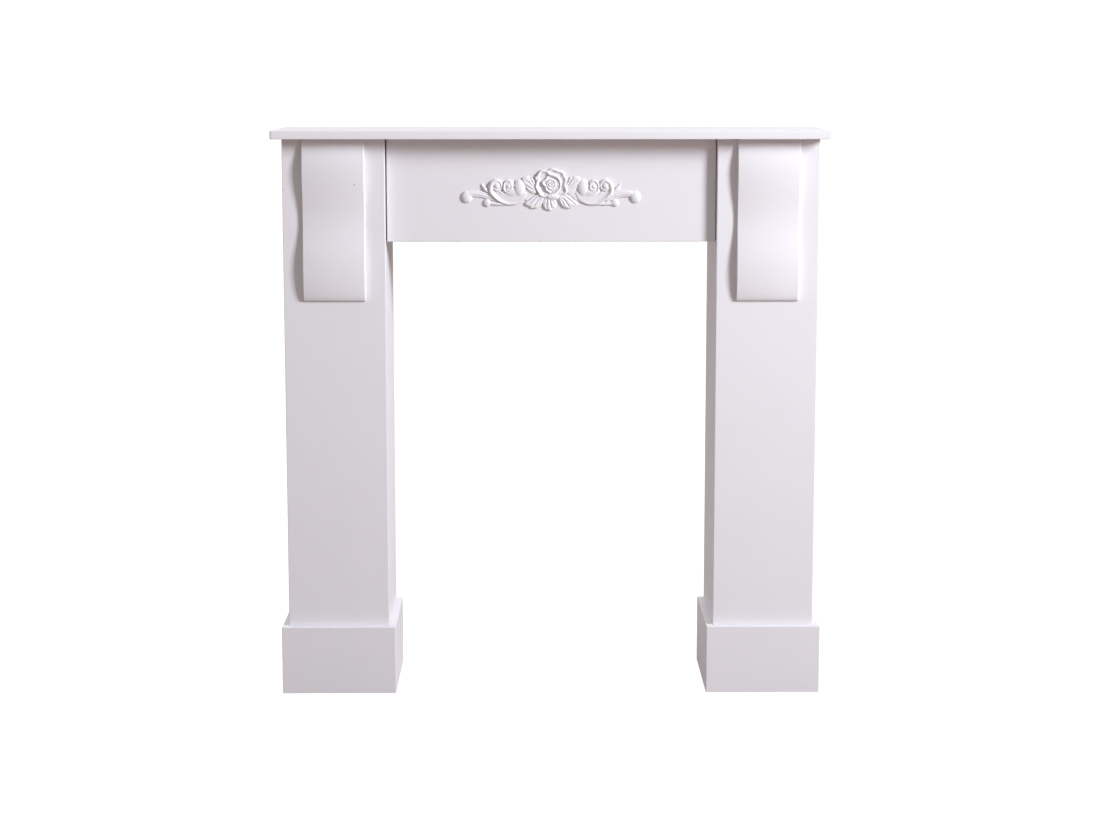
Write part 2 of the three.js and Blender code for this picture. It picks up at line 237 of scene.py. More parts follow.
class Term:
    """A value inside a finish, which adds, subtracts, multiplies and divides as a number does."""

    def __init__(self, maker, socket):
        self.maker = maker
        self.socket = socket

    def worked(self, operation, first, second=0.0, clamp=False):
        settings = {"operation": operation, "use_clamp": clamp}
        return self.maker.node("ShaderNodeMath", settings, {0: first, 1: second})

    def __add__(self, other):
        return self.worked("ADD", self, other)

    __radd__ = __add__

    def __sub__(self, other):
        return self.worked("SUBTRACT", self, other)

    def __rsub__(self, other):
        return self.worked("SUBTRACT", other, self)

    def __mul__(self, other):
        return self.worked("MULTIPLY", self, other)

    __rmul__ = __mul__

    def __truediv__(self, other):
        return self.worked("DIVIDE", self, other)

    def __abs__(self):
        return self.worked("ABSOLUTE", self)

    def held(self):
        """The value kept between 0 and 1."""
        return self.worked("ADD", self, 0.0, clamp=True)


class NodeTree:
    """A node tree in the making. Every node in it comes from the one method, node."""

    def __init__(self, tree):
        self.tree = tree
        tree.nodes.clear()

    def node(self, kind, settings=None, values=None, output=0):
        """Adds a node: its settings come first, then the values or links of its sockets."""
        made = self.tree.nodes.new(kind)
        for name, value in (settings or {}).items():
            setattr(made, name, value)
        for key, value in (values or {}).items():
            if isinstance(value, Term):
                self.tree.links.new(value.socket, made.inputs[key])
            else:
                made.inputs[key].default_value = value
        return Term(self, made.outputs[output]) if made.outputs else None


class Finish(NodeTree):
    """A material in the making."""

    def __init__(self, name):
        self.material = bpy.data.materials.new(name)
        self.material.use_nodes = True
        super().__init__(self.material.node_tree)
        self.place = self.node("ShaderNodeTexCoord", output="Object")

    def axis(self, letter):
        """One coordinate of the surface, in metres."""
        return self.node("ShaderNodeSeparateXYZ", values={0: self.place}, output=letter)

    def grain(self, size, detail=2.0, rough=0.5):
        """Soft noise from 0 to 1 whose patches are about size metres wide."""
        values = {"Vector": self.place, "Scale": 1 / size, "Detail": detail, "Roughness": rough}
        return self.node("ShaderNodeTexNoise", values=values)

    def mixed(self, share, first, second):
        """One colour turning into another."""
        settings = {"data_type": "RGBA"}
        return self.node("ShaderNodeMix", settings, {0: share, 6: first, 7: second}, output=2)

    def near(self, point, radius, fade):
        """1 within radius of a point, and 0 further off than radius and fade together."""
        values = {0: self.place, 1: point}
        away = self.node("ShaderNodeVectorMath", {"operation": "DISTANCE"}, values, output="Value")
        return ((radius + fade - away) / fade).held()

    def surface(self, colour, roughness, height, **fixed):
        """Ends the finish in one Principled shader. height is the relief of the surface in metres."""
        bump = self.node("ShaderNodeBump", values={"Height": height, "Distance": 1.0, "Strength": 1.0})
        values = {"Base Color": colour, "Roughness": roughness, "Normal": bump, **fixed}
        shader = self.node("ShaderNodeBsdfPrincipled", values=values)
        self.node("ShaderNodeOutputMaterial", values={"Surface": shader})
        return self.material


def rgba(colour):
    """A colour with no see-through part."""
    return (*colour, 1.0)


def past(value, limit, fade=0.5 * MM):
    """1 where a value has passed its limit by fade, and 0 before the limit."""
    return ((value - limit) / fade).held()


def short_of(value, limit, fade=0.5 * MM):
    """1 where a value falls short of its limit by fade, and 0 beyond the limit."""
    return ((limit - value) / fade).held()


def unpainted(finish):
    """Two masks from 0 to 1: where the boards are bare, and the ends of the frieze deep in its joints, where
    painted shade darkens the bare board.
    The boards are bare inside the pillars, on the frieze's back and beside the frieze."""
    x, y, z = (finish.axis(letter) for letter in "XYZ")
    away = abs(x)
    spray = (finish.grain(SPRAY_SIZE, detail=4.0) - 0.5) * SPRAY_REACH
    ragged_y = y + spray * 0.2
    in_pillar = short_of(abs(away - PILLAR_MIDDLE), spray + (HOLLOW_HALF_WIDTH + 0.9 * MM))
    behind_front = past(ragged_y, PILLAR_INSIDE_Y - 1.2 * MM)
    under_shelf = short_of(z, SHELF_UNDERSIDE + 1 * MM)
    frieze_high = past(z, FRIEZE_LOW.z + 1.5 * MM)
    behind_face = past(y, FRIEZE_LOW.y + 1.2 * MM)
    behind_frieze = past(ragged_y, FRIEZE_HIGH.y - 0.8 * MM)
    on_frieze = short_of(away, OPENING_HALF_WIDTH - 0.4 * MM, fade=0.3 * MM)
    in_joint = past(away, FRIEZE_END - 0.6 * MM, fade=0.3 * MM)
    in_opening = short_of(away, OPENING_HALF_WIDTH + 0.5 * MM, fade=0.2 * MM)
    frieze_end = in_joint * in_opening * behind_face * frieze_high * under_shelf
    frieze_back = frieze_high * on_frieze * behind_frieze
    bare = ((in_pillar * behind_front + frieze_back + frieze_end) * under_shelf).held()
    # The second mask is painted shade: it darkens the bare board deep in the gaps at the frieze's ends.
    return bare, frieze_end * (1 - behind_frieze)


def satin_paint(name, paint, bare=False, flaws=()):
    """Satin white paint, a little uneven, with a fine stipple. Where bare, the board shows unpainted inside
    the pillars and behind the frieze, and deep in the joints beside the frieze it is darkened further as
    painted shade. Each flaw is (place, radius): a tiny dark mark."""
    finish = Finish(name)
    patches = finish.grain(PATCH_SIZE, detail=3.0)
    stipple = finish.grain(STIPPLE_SIZE, detail=1.0)
    swell = finish.grain(SWELL_SIZE, detail=1.0)
    colour = finish.mixed(patches, rgba(paint.colour), rgba(paint.shade))
    roughness = paint.gloss_roughness + (patches - 0.5) * ROUGHNESS_SPREAD
    height = stipple * paint.stipple + swell * SWELL_HEIGHT
    if bare:
        raw, joint_painted_shade = unpainted(finish)
        fibres = finish.grain(FIBRE_SIZE, detail=5.0, rough=0.75)
        clouds = finish.grain(CLOUD_SIZE, detail=2.0)
        dark, pale = (rgba([part * tone for part in paint.bare_board]) for tone in (DARK_FIBRE, PALE_FIBRE))
        board = finish.mixed(fibres * 0.7 + clouds * 0.3, dark, pale)
        colour = finish.mixed(raw, colour, board)
        roughness = roughness + raw * (BARE_ROUGHNESS - paint.gloss_roughness)
        height = height + raw * fibres * FIBRE_HEIGHT
        # Painted shade: the bare board deep in the joints beside the frieze is darkened to near black.
        colour = finish.mixed(joint_painted_shade, colour, rgba(paint.joint_painted_shade))
    for place, radius in flaws:
        mark = finish.near(place, radius, FLAW_FADE)
        colour = finish.mixed(mark * FLAW_STRENGTH, colour, rgba(FLAW_COLOUR))
        height = height - mark * FLAW_DEPTH
    return finish.surface(colour, roughness, height, **{"Coat Weight": 0.0, "Specular IOR Level": 0.45})


def paint_film(thickness):
    """A modifier group that closes a board's corners, lays a film of paint over it and shades its eased
    edges smoothly."""
    group = bpy.data.node_groups.new("paint_film", "GeometryNodeTree")
    group.interface.new_socket("Geometry", in_out="INPUT", socket_type="NodeSocketGeometry")
    group.interface.new_socket("Geometry", in_out="OUTPUT", socket_type="NodeSocketGeometry")
    layers = NodeTree(group)
    board = layers.node("NodeGroupInput")
    closed = layers.node("GeometryNodeMergeByDistance", values={"Geometry": board, "Distance": 0.001 * MM})
    normal = layers.node("GeometryNodeInputNormal")
    film = layers.node("ShaderNodeVectorMath", {"operation": "SCALE"}, {0: normal, "Scale": thickness})
    painted = layers.node("GeometryNodeSetPosition", values={"Geometry": closed, "Offset": film})
    smooth = layers.node("GeometryNodeSetShadeSmooth", {"domain": "FACE"}, {"Geometry": painted})
    bend = layers.node("GeometryNodeInputMeshEdgeAngle", output="Unsigned Angle")
    shallow = layers.node("FunctionNodeCompare", {"data_type": "FLOAT", "operation": "LESS_THAN"},
                          {"A": bend, "B": math.radians(BOARD_BEND)})
    eased_edges = layers.node("GeometryNodeSetShadeSmooth", {"domain": "EDGE"},
                              {"Geometry": smooth, "Shade Smooth": shallow})
    layers.node("NodeGroupOutput", values={"Geometry": eased_edges})
    return group


def new_piece(name, mesh, material):
    """Puts a mesh in the scene as a piece of the object that rides on its one body."""
    piece = bpy.data.objects.new(name, mesh)
    bpy.context.scene.collection.objects.link(piece)
    mesh.materials.append(material)
    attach(piece, BODY)
    return piece


def smooth_curve(points, steps, closed=False):
    """Points on a smooth curve through the given ones, steps of them for each gap."""
    points = np.asarray(points, float)
    if closed:
        padded = np.vstack([points[-1], points, points[:2]])
    else:
        padded = np.vstack([2 * points[0] - points[1], points, 2 * points[-1] - points[-2]])
    out = []
    for k in range(len(padded) - 3):
        before, first, second, after = padded[k:k + 4]
        for step in range(steps):
            t = step / steps
            out.append(0.5 * (
                2 * first + (second - before) * t
                + (2 * before - 5 * first + 4 * second - after) * t * t
                + (3 * first - before - 3 * second + after) * t ** 3
            ))
    if not closed:
        out.append(points[-1])
    return np.array(out)


def arc(centre, start, end, radius, last_radius, squash=1.0, count=9):
    """Points round a centre from one angle to another, in degrees, as the radius changes."""
    angles = np.radians(np.linspace(start, end, count))
    radii = np.linspace(radius, last_radius, count)
    return [(centre[0] + r * np.cos(a), centre[1] + r * squash * np.sin(a)) for a, r in zip(angles, radii)]


def eased(values, share):
    """The value at a share of the way along evenly spaced ones, with soft turns between them."""
    values = np.asarray(values, float)
    place = np.clip(share, 0, 1) * (len(values) - 1)
    k = np.clip(place.astype(int), 0, len(values) - 2)
    ease = (1 - np.cos(np.pi * np.clip(place - k, 0, 1))) / 2
    return values[k] + (values[k + 1] - values[k]) * ease


class Relief:
    """A carving as heights over a grid, all in millimetres. Below zero there is nothing. Places are
    (across, up) from the grid's middle, and heights stand out from the board. A line's curve has STEPS
    for each of its points. Past its border a form falls FALL millimetres a millimetre, or STEEP ones."""

    GROUND = -4.0
    STEPS = 8
    STEEP = 4
    FALL = 3

    def __init__(self, half_width, half_height, step):
        count = int(round(2 * half_width / step)) + 1
        self.across = np.linspace(-half_width, half_width, count)
        self.up = np.arange(-half_height, half_height + step / 2, step)
        self.height = np.full((len(self.up), len(self.across)), self.GROUND)

    def window(self, points, margin):
        """The rows and columns round some points, and the places of their grid points."""
        low, high = points.min(0) - margin, points.max(0) + margin
        columns = slice(*np.searchsorted(self.across, (low[0], high[0])))
        rows = slice(*np.searchsorted(self.up, (low[1], high[1])))
        return (rows, columns), *np.meshgrid(self.across[columns], self.up[rows])

    def nearest(self, line, px, py):
        """For each place: how far it lies left of the line, the share along it, and how far past its ends."""
        spans = np.diff(line, axis=0)
        lengths = np.hypot(*spans.T)
        before = np.concatenate([[0.0], np.cumsum(lengths)])
        best = np.full(px.shape, np.inf)
        side, share, past = (np.zeros(px.shape) for _ in range(3))
        for k, ((sx, sy), (dx, dy), length) in enumerate(zip(line, spans, lengths)):
            free = ((px - sx) * dx + (py - sy) * dy) / length ** 2
            held = np.clip(free, 0, 1)
            away = np.hypot(px - sx - held * dx, py - sy - held * dy)
            left = (dx * (py - sy) - dy * (px - sx)) / length
            over = np.zeros(px.shape)
            if k == 0:
                over = np.maximum(over, -free * length)
            if k == len(spans) - 1:
                over = np.maximum(over, (free - 1) * length)
            closer = away < best
            best = np.where(closer, away, best)
            side = np.where(closer, np.where(over > 0, left, np.sign(left) * away), side)
            share = np.where(closer, (before[k] + held * length) / before[-1], share)
            past = np.where(closer, over, past)
        return side, share, past

    def inside(self, outline, px, py):
        """Whether each place lies inside a closed outline."""
        odd = np.zeros(px.shape, bool)
        for (ax, ay), (bx, by) in zip(outline, np.roll(outline, -1, axis=0)):
            if ay != by:
                odd ^= ((ay > py) != (by > py)) & (px < (bx - ax) * (py - ay) / (by - ay) + ax)
        return odd

    def add(self, spot, new, blend):
        """Keeps the higher of the old and new heights, with a small fillet of blend where they meet."""
        old = self.height[spot]
        overlap = np.maximum(blend - np.abs(old - new), 0)
        joined = np.maximum(old, new) + overlap ** 2 / (4 * blend)
        self.height[spot] = np.maximum(joined, self.GROUND)

    def roll(self, points, half_widths, heights, lean=0.0, blend=0.8):
        """A rounded strip along a line. lean moves its crest to the left, as a share of its half width."""
        line = smooth_curve(points, self.STEPS)
        spot, px, py = self.window(line, max(half_widths) + 2)
        side, share, past = self.nearest(line, px, py)
        half, tall = eased(half_widths, share), eased(heights, share)
        out = np.hypot(side, past) / half
        turned = np.clip(np.sign(side) * out - lean * (1 - np.clip(out, 0, 1) ** 2), -1, 1)
        rounded = tall * np.sqrt(1 - turned ** 2)
        self.add(spot, np.where(out < 1, rounded, -self.FALL * half * (out - 1)), blend)

    def petal(self, edge, reach, rims, floors, lip=1.6, blend=0.8, past_fade=1.6):
        """A cupped petal left of its outer edge: a wall up to a rounded rim, then a hollow slope down to
        its floor."""
        line = smooth_curve(edge, self.STEPS)
        spot, px, py = self.window(line, reach + 3)
        side, share, past = self.nearest(line, px, py)
        rim, floor = eased(rims, share), eased(floors, share)
        wall = rim * np.sqrt(np.clip(1 - (1 - np.clip(side / lip, 0, 1)) ** 2, 0, 1))
        inward = np.clip((side - lip) / (reach - lip), 0, 1)
        slope = rim + (floor - rim) * (1 - (1 - inward) ** 1.8)
        new = np.where(side < lip, wall, slope)
        new = np.where(side < 0, self.STEEP * side, new)
        new = np.where(side > reach, floor - self.FALL * (side - reach), new)
        self.add(spot, new - past_fade * np.maximum(past, 0), blend)

    def leaf(self, outline, height, edge, crown=0.0, tilt=(0.0, 0.0), blend=0.8):
        """A body inside a smooth outline, rounded down over edge millimetres at its border."""
        line = smooth_curve(outline, self.STEPS, closed=True)
        spot, px, py = self.window(line, 3)
        away = np.abs(self.nearest(np.vstack([line, line[:1]]), px, py)[0])
        side = np.where(self.inside(line, px, py), away, -away)
        middle = line.mean(0)
        top = height + crown * np.clip(side / edge - 1, 0, 3)
        top = top + tilt[0] * (px - middle[0]) + tilt[1] * (py - middle[1])
        shoulder = np.sqrt(np.clip(1 - (1 - np.clip(side / edge, 0, 1)) ** 2, 0, 1))
        self.add(spot, np.where(side > 0, top * shoulder, self.STEEP * side), blend)

    def boss(self, centre, half_width, half_height, height, blend=0.8, fullness=0.5):
        """A round knob. The less the fullness, the flatter its top and the steeper its sides."""
        centre = np.array(centre)
        size = np.array([half_width, half_height])
        spot, px, py = self.window(np.array([centre - size, centre + size]), 2)
        square = ((px - centre[0]) / half_width) ** 2 + ((py - centre[1]) / half_height) ** 2
        out = (np.sqrt(square) - 1) * min(half_width, half_height)
        rounded = height * np.clip(1 - square, 0, 1) ** fullness
        self.add(spot, np.where(square < 1, rounded, -self.FALL * out), blend)

    def groove(self, points, half_width, depth, least=0.6):
        """A rounded groove along a line, which runs out at both ends and leaves at least the least height."""
        line = smooth_curve(points, self.STEPS)
        spot, px, py = self.window(line, 3 * half_width)
        side, share, past = self.nearest(line, px, py)
        run_out = np.sin(np.pi * np.clip(share, 0.02, 0.98)) ** 0.5
        cut = depth * run_out * np.exp(-(np.hypot(side, past) / half_width) ** 2)
        old = self.height[spot]
        self.height[spot] = np.where(old > 0, np.maximum(old - cut, np.minimum(old, least)), old)

    def soften(self):
        """Rounds every edge a little, as paint does."""
        edged = np.pad(self.height, 1, mode="edge")
        around = edged[:-2, 1:-1] + edged[2:, 1:-1] + edged[1:-1, :-2] + edged[1:-1, 2:]
        self.height = (4 * self.height + around) / 8


def carve_end_scroll(relief):
    """The outer strand with its two grooves and round end, and the small leaf above it."""
    relief.roll([(101, -20), (108, -14.5), (118, -9.5), (130, -6.8), (142, -6.6), (150, -8)],
                [2.2, 4.2, 5.6, 6.0, 6.0, 5.6], [3, 4.4, 5.2, 5.8, 6.0, 6.0])
    relief.boss((152.2, -12.2), 10.4, 11.2, 7.6)
    for shift in (2.4, -2.2):
        relief.groove([(106, -16.5 + shift * 0.5), (114, -11.6 + shift * 0.8), (126, -7.6 + shift),
                       (138, -6.6 + shift), (144, -7.6 + shift * 0.7)], 1.0, 1.8)
    relief.roll([(106, -9.5), (113, -3.2), (119.5, 2.8), (124.6, 9.6)],
                [1.3, 2.3, 4.0, 2.2], [3.5, 5, 6.5, 3.5])


def carve_bar(relief):
    """The thin bar under the body, with its small round end."""
    relief.roll([(72, -25.4), (84, -25.2), (97, -24.7), (111, -23.4)],
                [1.4, 2.4, 3.2, 3.4], [2.4, 3.4, 4.4, 4.6])
    relief.boss((115.6, -22.6), 7.4, 7.4, 6.2)


def carve_c_scroll(relief):
    """The hollow body with its rim outside, which turns over into a full round volute."""
    relief.leaf([(43, -4), (45, -12), (49, -18), (57, -23.4), (68, -26), (84, -25), (97, -19.5),
                 (105, -11), (107, -2), (100, 1), (90, -2), (82, -4), (68, -4), (54, -2)],
                4.2, 4.0, tilt=(-0.03, 0.05))
    relief.petal([(44.6, -12), (48.4, -17.4), (54, -22), (62, -25.8), (71, -27.4), (82, -26.8),
                  (92, -22.8), (100.6, -17.2), (107.6, -10), (112, -2), (113.2, 5)],
                 11.0, [4.0, 4.4, 5.4, 6.8, 8.2, 9.4, 10.0], [3.6, 3.6, 3.4, 3.2, 3.0, 2.8, 2.8], lip=3.2)
    relief.roll([(107.6, -7), (108.6, 1), (107.4, 8.4), (103.4, 14), (97.4, 15.9), (92, 13.4),
                 (90, 8), (91.6, 3.6)],
                [3.4, 4.6, 5.4, 5.4, 5.0, 4.4, 3.6, 2.6],
                [8.6, 9.6, 10.2, 10.2, 9.8, 8.8, 7.6, 6.4], lean=-0.15)
    relief.roll([(90.6, 4.6), (93.6, 1.2), (98.6, 0.4), (103.6, 3.4)],
                [2.6, 3.2, 3.4, 3.0], [6.6, 7.4, 7.8, 7.6])
    relief.boss((98.0, 8.2), 7.4, 7.6, 10.2, blend=1.6, fullness=0.42)
    relief.groove([(101.6, 14.6), (97.6, 14.8), (93.4, 12.2), (92.0, 7.8), (93.6, 3.6), (97.4, 2.2)],
                  0.9, 1.9)
    relief.roll([(84, -9), (89, -5.2), (95, -1.6)], [1.8, 2.6, 1.6], [4.2, 5.6, 5.0])


def carve_bud(relief):
    """A rosebud that leaves its egg-shaped sheath."""
    bud = (76.6, 6.4)
    relief.leaf([(60, -12), (70, -13), (80, -11.5), (88, -7), (88, 4), (80, 12), (68, 12), (58, 4)],
                4.0, 4.0)
    relief.boss((69.6, -2.6), 17.0, 9.4, 7.4, blend=1.4, fullness=0.45)
    relief.boss(bud, 11.4, 13.0, 8.4, fullness=0.42)
    relief.petal(arc(bud, -90, 170, 10.8, 10.0, squash=1.2), 4.4,
                 [7.4, 9.2, 9.8, 9.4, 8.2], [7.0, 7.2, 7.2], lip=1.7)
    relief.petal(arc(bud, 100, 300, 7.6, 6.8, squash=1.2), 3.4, [8.8, 10.2, 9.8], [8.0, 8.2], lip=1.4)
    relief.boss((bud[0] + 0.4, bud[1] + 0.2), 5.0, 5.8, 10.8, fullness=0.42)
    relief.groove(arc(bud, 200, 420, 3.2, 1.6, squash=1.3), 0.9, 1.6)
    relief.boss((57.6, 4.4), 11.4, 15.8, 10.4, blend=1.2, fullness=0.46)
    relief.groove([(72.4, 19.0), (69.6, 14.4), (67.8, 8.6), (66.4, 3.6), (64.4, -1.0)], 1.0, 2.4)


def carve_side_leaves(relief):
    """The two veined leaves beside the rose, one up and one down, on the ground that joins them."""
    relief.leaf([(25, -5), (31, -9), (38, -14), (43, -18.5), (48, -18), (52, -8), (52, 0), (44, 6),
                 (34, 6), (26, 2)], 3.2, 3.5)
    relief.leaf([(26, 8), (30, 17), (34.5, 24), (38.4, 23.4), (41.5, 25.6), (46, 25.4), (51.5, 23.6),
                 (53.6, 19.4), (51, 13), (47.6, 5.6), (43.5, -0.5), (38, -5), (31, -7.4), (26, -4)],
                6.4, 4.6, crown=0.6)
    for vein, width, depth in (
        ([(28, 6), (32, 11.5), (35.6, 17.5), (38.2, 24.4)], 1.15, 3.6),
        ([(30, 5), (36, 9.6), (41.5, 14.6), (47.4, 17.6)], 1.1, 2.6),
        ([(30, 0.5), (36, 2.8), (41.5, 6), (47, 9.4)], 1.0, 2.0),
        ([(29, 11), (31, 16), (32.4, 21)], 0.8, 1.4),
    ):
        relief.groove(vein, width, depth)
    relief.leaf([(14, -10), (20, -7.6), (27, -7.4), (35, -12), (42, -17.8), (48, -22.6), (46.6, -27),
                 (40, -30.4), (36, -33), (28.5, -33.6), (21.5, -31), (16.6, -25), (12.8, -17)],
                6.0, 4.6, crown=0.6)
    for vein, width, depth in (
        ([(20, -9.4), (27.5, -12.6), (34.6, -18.4), (42.6, -25)], 1.2, 3.0),
        ([(19, -13), (25, -18.6), (29, -24.6), (33, -30.4)], 1.15, 3.2),
        ([(17, -15), (20.6, -21.6), (24.4, -28)], 0.9, 1.6),
    ):
        relief.groove(vein, width, depth)


def carve_drooping_leaf(relief):
    """The veined leaf that hangs below the rose."""
    relief.leaf([(-11, -12), (-15.4, -20), (-15.6, -26), (-12.6, -32.4), (-7.4, -36.2), (-2.6, -37.6),
                 (1.6, -36.2), (4, -33.0), (8.4, -31), (9.2, -25), (7.6, -16), (4, -11)],
                6.2, 4.4, crown=0.5)
    for vein, depth in (
        ([(-6.4, -15), (-8, -22), (-8.2, -28.5), (-6.6, -34)], 3.0),
        ([(-1.8, -15), (-1.4, -23), (-0.4, -29), (1.6, -35)], 3.0),
        ([(1.8, -15), (4, -21), (6.4, -26), (8.0, -31)], 1.9),
        ([(-9.4, -15), (-12, -21), (-12.6, -27)], 1.3),
    ):
        relief.groove(vein, 1.1, depth)


def carve_outer_petals(relief):
    """The rose's round base, its four wide outer petals and the curl of the left one."""
    relief.boss((0, 11.5), 26.5, 25.0, 4.4, fullness=0.25)
    for edge, reach, rims, floors in (
        ([(1, 37.4), (-8, 36.6), (-15.6, 36.8), (-20.6, 33.4), (-24.4, 28), (-29, 25), (-29.6, 20.6),
          (-27, 15)],
         9.0, [5.0, 7.8, 8.6, 7.8, 6.2], [3.2, 3.0, 3.0]),
        ([(27, 20), (25.2, 28.4), (20.6, 35), (14, 36.4), (7.4, 39.2), (-0.6, 39.8), (-6.6, 36.6)],
         9.5, [6.4, 8.6, 9.2, 9.0, 7.2], [3.2, 3.0, 3.2]),
        ([(15, -10.4), (22, -9.2), (28, -6.4), (30, -0.6), (28.8, 5.2), (27, 10.6), (29, 17), (27.6, 24),
          (22.6, 29)],
         9.0, [6.6, 9.0, 9.8, 9.4, 7.0], [3.0, 2.8, 3.0]),
        ([(-25.4, 22.5), (-27.8, 14), (-29.4, 6), (-26.2, -1), (-22, -8.6), (-16, -13.4), (-8.6, -14)],
         11.5, [7.0, 9.4, 9.8, 9.4, 7.8], [3.2, 2.8, 3.0]),
    ):
        relief.petal(edge, reach, rims, floors, lip=3.0, blend=1.6)
    relief.roll([(-26.6, 24.6), (-23.6, 27.4), (-20.6, 31.8), (-18.6, 34.6)],
                [1.6, 2.4, 2.2, 1.2], [7, 9.4, 9.4, 7.4])
    relief.groove([(-23.6, 23.6), (-20.4, 27.0), (-17.2, 31.2), (-14.6, 33.6)], 1.6, 3.4)
    relief.groove([(-5.4, 35.6), (2.4, 35.0), (10.0, 32.2), (17.4, 27.2)], 1.1, 2.2)


def carve_inner_petals(relief):
    """The ring of petals between the outer ones and the heart."""
    relief.leaf([(16.5, 12), (14.5, 1), (9, -5.4), (1, -7.4), (-6.6, -3), (-12.4, 4.4), (-15, 13),
                 (-9.4, 20.5), (-4, 27), (4, 27), (11, 23)], 7.6, 3.0)
    for edge, reach, rims, floors in (
        ([(1.6, -8.2), (8.4, -6.6), (13.0, -1.6), (17.4, 2.6), (18.6, 9.6), (18.4, 17.2)],
         7.0, [8.5, 10.6, 11.6, 11.4, 9.4], [7.2, 7.4]),
        ([(-4.6, 29.4), (-8.0, 24.6), (-11.6, 20.2), (-16.4, 16.6), (-16.0, 11.0), (-11.8, 6.4),
          (-10.2, 0.6), (-4.6, -4.0), (-0.6, -8.4)],
         6.6, [8.8, 10.8, 12.0, 12.0, 11.2, 10.4, 8.8], [7.4, 7.6, 7.4]),
    ):
        relief.petal(edge, reach, rims, floors, lip=1.8)
    relief.roll([(16.8, 10.5), (14.8, 17.4), (9.8, 23.2), (3.4, 26), (-2.6, 27.4), (-6.2, 31.8)],
                [2.2, 3.2, 3.8, 3.8, 3.2, 2.0], [9.6, 11.6, 12, 12, 11, 8.6], lean=-0.25)
    relief.groove([(13.0, 15.6), (9.6, 19.8), (5, 22.2), (0, 22.8), (-4.6, 24.4), (-7, 28.4)], 0.9, 3.4)
    relief.groove([(-1.0, -8.6), (-0.2, -5.0), (2.6, -1.6)], 1.0, 3.0)


def carve_heart(relief):
    """The rose's tight heart of small petals."""
    heart = (0.2, 12.2)
    relief.boss(heart, 9.8, 9.2, 10.2, fullness=0.3)
    relief.petal([(-8.6, 15.4), (-9.6, 9.4), (-5.6, 4.6), (-0.6, 0.4), (5.4, 2.6), (9.6, 8.4)],
                 3.4, [9.6, 12.0, 12.2, 10.4], [9.4, 9.6], lip=1.3)
    relief.petal([(9.4, 7.8), (8.6, 14.6), (4.0, 19.6), (-3.0, 20.2), (-8.0, 15.4), (-8.4, 10.6)],
                 3.2, [10.4, 12.6, 12.6, 11.4], [10.2, 10.4], lip=1.2)
    relief.petal(arc(heart, 130, 330, 5.8, 5.0), 2.4, [11.2, 13.0, 12.0], [11.2, 11.4], lip=1.0)
    relief.petal(arc(heart, -40, 160, 4.4, 3.4), 2.0, [11.8, 13.4, 12.4], [11.6, 11.8], lip=0.9)
    relief.boss(heart, 1.5, 1.5, 13.2)


def carve_rolled_petal(relief):
    """The lowest petal, which rolls outwards over the leaves."""
    relief.roll([(-9.4, -9.0), (-4.4, -11.8), (3, -12.4), (10, -11.8), (14.6, -9)],
                [3.6, 5.8, 6.2, 5.6, 3.4], [7.0, 9.8, 10.4, 9.8, 6.8], lean=0.15, blend=1.4)


SPRAY = (carve_end_scroll, carve_bar, carve_c_scroll, carve_side_leaves, carve_bud)
ROSE = (carve_drooping_leaf, carve_outer_petals, carve_inner_petals, carve_heart, carve_rolled_petal)


def carved_ornament(step):
    """The whole relief. The sprays beside the rose mirror each other."""
    relief = Relief(CARVING_HALF_WIDTH, CARVING_HALF_HEIGHT, step)
    for carve in SPRAY:
        carve(relief)
    relief.height = np.maximum(relief.height, relief.height[:, ::-1])
    for carve in ROSE:
        carve(relief)
    relief.soften()
    return relief


def corbel_profile(node, steps):
    """The corbel's own S, from the frame: (height, forward edge), top first, with more steps."""
    front = {}
    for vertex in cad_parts[node].data.vertices:
        level = round(vertex.co.z, 5)
        front[level] = min(front.get(level, 1.0), vertex.co.y)
    return smooth_curve([(level, front[level]) for level in sorted(front, reverse=True)], steps)


def corbel_mesh(node, settings):
    """Level rings down the corbel, each with its two side edges rounded."""
    low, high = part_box(node)
    radius = settings.arris_radius
    turns = np.linspace(0, math.pi / 2, ARRIS_STEPS + 1)
    arris = [(radius * (1 - math.cos(turn)), radius * (1 - math.sin(turn))) for turn in turns]
    bm = bmesh.new()
    rings = []
    profile = corbel_profile(node, settings.steps_per_sample)
    for level, forward in profile:
        side = [(low.x + in_x, forward + in_y) for in_x, in_y in arris]
        other = [(high.x + low.x - x, y) for x, y in reversed(side)]
        plan = [(low.x, high.y), *side, *other, (high.x, high.y)]
        rings.append([bm.verts.new((x, y, level)) for x, y in plan])
    count = len(rings[0])
    for upper, lower in zip(rings, rings[1:]):
        for k in range(count):
            after = (k + 1) % count
            bm.faces.new((upper[k], lower[k], lower[after], upper[after]))
    bm.faces.new(rings[0])
    bm.faces.new(reversed(rings[-1]))
    bmesh.ops.recalc_face_normals(bm, faces=bm.faces)
    mesh = bpy.data.meshes.new(node + "_shape")
    bm.to_mesh(mesh)
    bm.free()
    mesh.shade_smooth()
    mesh.set_sharp_from_angle(angle=math.radians(CORBEL_BEND))
    return mesh


def relief_grid(relief, height):
    """The grid's points and faces wherever one of a face's corners stands above the ground."""
    stands = height > 0
    rows, columns = np.nonzero(stands[:-1, :-1] | stands[1:, :-1] | stands[:-1, 1:] | stands[1:, 1:])
    corners = [(rows + down, columns + right) for down, right in ((0, 0), (0, 1), (1, 1), (1, 0))]
    used = np.zeros(height.shape, bool)
    for corner in corners:
        used[corner] = True
    number = np.cumsum(used).reshape(used.shape) - 1
    ups, acrosses = np.nonzero(used)
    points = np.column_stack([relief.across[acrosses], -height[used], relief.up[ups]])
    return points.tolist(), np.column_stack([number[corner] for corner in corners]).tolist()


